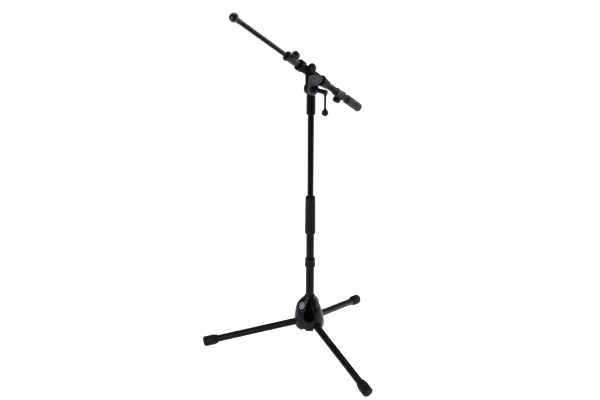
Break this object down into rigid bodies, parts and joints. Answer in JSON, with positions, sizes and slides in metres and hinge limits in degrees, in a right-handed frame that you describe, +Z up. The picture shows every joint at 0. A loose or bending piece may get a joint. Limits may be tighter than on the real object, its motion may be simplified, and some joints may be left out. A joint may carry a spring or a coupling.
{
  "type": "boom microphone stand",
  "caption": "Folding tripod microphone stand with a telescoping pole, a clamp-lever tilting head and a telescoping boom with a counterweight.",
  "frame": {"origin": "on the pole axis at the floor", "axes": "+Z up along the pole; the boom rises toward -X and tilts about Y, with its clamp lever on the -Y side"},
  "size_m": [0.6124, 0.5746, 1.0947],
  "materials": {
    "badge_plastic": "pale grey",
    "black_metal": "satin black powder coat",
    "gloss_plastic": "polished black",
    "grey_metal": "satin dark grey",
    "matte_plastic": "fine textured black",
    "rubber": "matte black",
    "steel": "zinc plated",
    "weight_rubber": "matte charcoal"
  },
  "bodies": {
    "stand_base": {"hub_housing": "black_metal", "hub_badge": "badge_plastic", "hub_top_screw": "steel", "hub_cap": "matte_plastic", "hub_screw": "steel", "tube_plug": "matte_plastic", "leg_pin_a": "steel", "leg_pin_b": "steel", "leg_pin_c": "steel", "tube_base": "black_metal", "ring_collar": "matte_plastic", "tube_mid": "black_metal", "tube_coupler": "matte_plastic", "clutch_core": "matte_plastic"},
    "leg_a": {"leg_tube_a": "black_metal", "leg_knuckle_a": "matte_plastic", "foot_a": "rubber"},
    "leg_b": {"leg_tube_b": "black_metal", "leg_knuckle_b": "matte_plastic", "foot_b": "rubber"},
    "leg_c": {"leg_tube_c": "black_metal", "leg_knuckle_c": "matte_plastic", "foot_c": "rubber"},
    "height_clutch": {"clutch_grip": "matte_plastic", "clutch_cap": "matte_plastic"},
    "upper_pole": {"pole_tube": "black_metal", "pole_bush": "matte_plastic", "pole_stud": "steel"},
    "head": {"head_yoke": "black_metal", "head_washer": "matte_plastic", "head_set_screw": "steel"},
    "boom_holder": {"holder_block": "matte_plastic", "holder_cheek": "grey_metal", "holder_cone": "matte_plastic", "holder_rivet": "steel"},
    "clamp_lever": {"lever_bolt": "steel", "lever_hub": "black_metal", "lever_rod": "black_metal", "lever_ball": "matte_plastic"},
    "holder_clamp": {"holder_knob": "matte_plastic", "holder_spindle": "steel"},
    "front_clamp": {"front_knob": "matte_plastic", "front_spindle": "steel"},
    "rear_clamp": {"rear_knob": "matte_plastic", "rear_spindle": "steel"},
    "boom_outer": {"boom_tube": "black_metal", "front_collar": "matte_plastic", "rear_collar": "matte_plastic"},
    "boom_inner": {"inner_tube": "black_metal", "inner_bush": "matte_plastic", "tip_collar": "steel", "tip_stud": "steel"},
    "tip_cap": {"thread_cap": "gloss_plastic"},
    "counterweight": {"weight_stem": "steel", "weight_neck": "matte_plastic", "weight_core": "steel", "weight_sleeve": "weight_rubber"}
  },
  "joints": [
    {"name": "leg_a_fold", "type": "hinge", "parent": "stand_base", "child": "leg_a", "pos_m": [0.02843, 0.00957, 0.093], "axis": [-0.319, 0.9478, 0], "range_deg": [0, 75]},
    {"name": "leg_b_fold", "type": "hinge", "parent": "stand_base", "child": "leg_b", "pos_m": [-0.0225, 0.01984, 0.093], "axis": [-0.6613, -0.7501, 0], "range_deg": [0, 75]},
    {"name": "leg_c_fold", "type": "hinge", "parent": "stand_base", "child": "leg_c", "pos_m": [-0.00593, -0.02941, 0.093], "axis": [0.9803, -0.1977, 0], "range_deg": [0, 75]},
    {"name": "pole_height", "type": "slide", "parent": "stand_base", "child": "upper_pole", "axis": [0, 0, 1], "range_m": [-0.2, 0.1]},
    {"name": "clutch_twist", "type": "hinge", "parent": "stand_base", "child": "height_clutch", "pos_m": [0, 0, 0.45], "axis": [0, 0, 1], "range_deg": [-60, 60]},
    {"name": "head_swivel", "type": "hinge", "parent": "upper_pole", "child": "head", "pos_m": [0, 0, 0.79], "axis": [0, 0, 1], "continuous": true},
    {"name": "boom_tilt", "type": "hinge", "parent": "head", "child": "boom_holder", "pos_m": [0, 0, 0.85], "axis": [0, 1, 0], "range_deg": [-74, 40]},
    {"name": "lever_turn", "type": "hinge", "parent": "head", "child": "clamp_lever", "pos_m": [0, 0, 0.85], "axis": [0, -1, 0], "range_deg": [-120, 120]},
    {"name": "holder_knob_turn", "type": "hinge", "parent": "boom_holder", "child": "holder_clamp", "pos_m": [-0.01562, 0, 0.90482], "axis": [0.3809, -0.7431, 0.5501], "range_deg": [-180, 180]},
    {"name": "boom_slide", "type": "slide", "parent": "boom_holder", "child": "boom_outer", "axis": [-0.8221, 0, 0.5693], "range_m": [-0.011, 0.033]},
    {"name": "front_knob_turn", "type": "hinge", "parent": "boom_outer", "child": "front_clamp", "pos_m": [-0.0781, 0, 0.94808], "axis": [0.3809, -0.7431, 0.5501], "range_deg": [-180, 180]},
    {"name": "rear_knob_turn", "type": "hinge", "parent": "boom_outer", "child": "rear_clamp", "pos_m": [0.10362, 0, 0.80036], "axis": [-0.5693, 0, -0.8221], "range_deg": [-180, 180]},
    {"name": "boom_telescope", "type": "slide", "parent": "boom_outer", "child": "boom_inner", "axis": [-0.8221, 0, 0.5693], "range_m": [-0.12, 0.03]},
    {"name": "cap_unscrew", "type": "slide", "parent": "boom_inner", "child": "tip_cap", "axis": [-0.8221, 0, 0.5693], "range_m": [0, 0.03]},
    {"name": "counterweight_slide", "type": "slide", "parent": "boom_outer", "child": "counterweight", "axis": [0.8221, 0, -0.5693], "range_m": [0, 0.02]}
  ]
}
